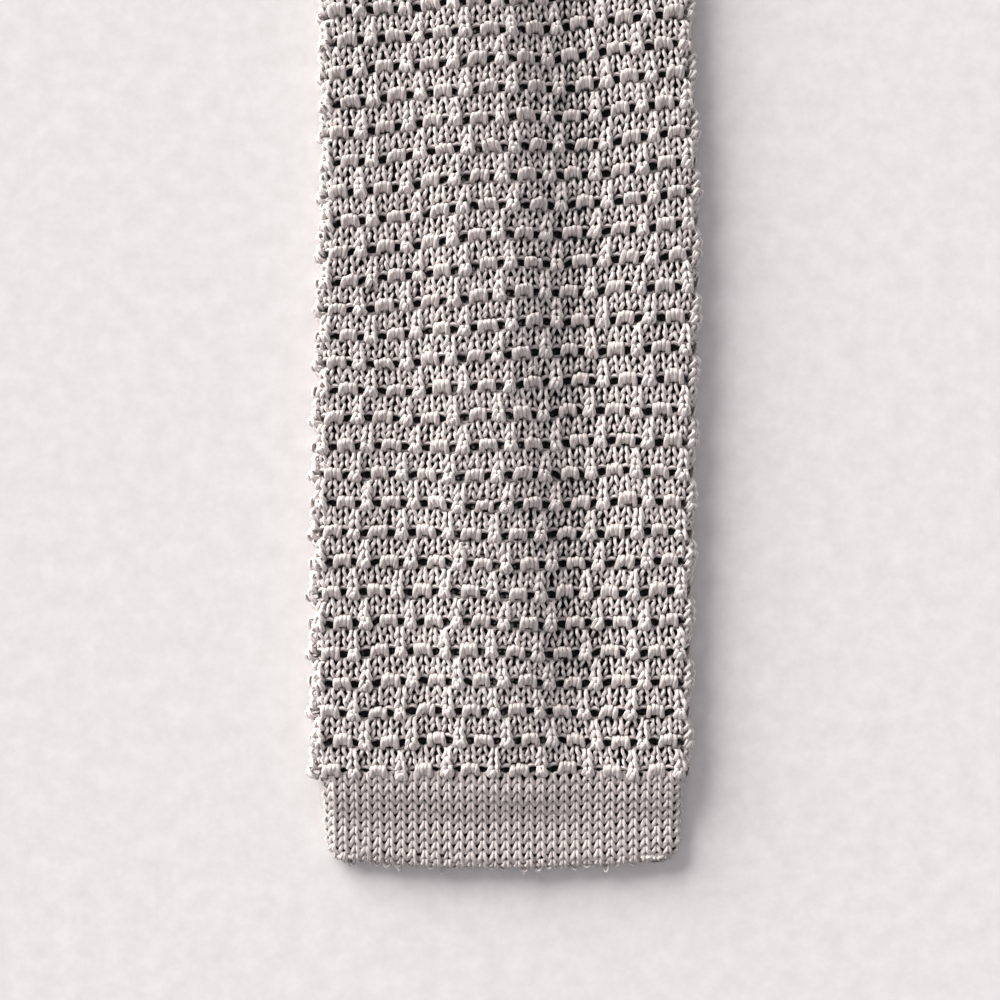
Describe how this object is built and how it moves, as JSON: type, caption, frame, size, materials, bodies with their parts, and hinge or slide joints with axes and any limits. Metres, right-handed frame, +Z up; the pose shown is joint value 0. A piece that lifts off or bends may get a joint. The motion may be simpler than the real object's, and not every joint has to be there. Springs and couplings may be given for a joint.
{
  "type": "knit tie",
  "caption": "Square-ended knit tie laid flat: a flattened tube of tuck-stitch cloth with a turned-in back seam and a plain-knit band closing each end.",
  "frame": {"origin": "centre of the tie's length and width, on the flat surface that it rests on", "axes": "+X across the tie to its right seen from above with the wide end nearest, +Y along it from the wide end to the narrow end, +Z up out of its face"},
  "size_m": [0.0648, 1.4498, 0.0054],
  "materials": {
    "tuck_knit": "thick silk tuck-stitch knit, light silver grey with a slight warm tint, open texture with small dark holes, soft sheen",
    "plain_knit": "thin plain silk jersey knit, light silver grey with a slight warm tint, fine even stitches, soft sheen",
    "seam_knit": "the same silk knit, pressed flat"
  },
  "bodies": {
    "root": {"knit_tube": "tuck_knit", "back_seam": "seam_knit", "wide_end_band": "plain_knit", "narrow_end_band": "plain_knit"}
  },
  "joints": []
}
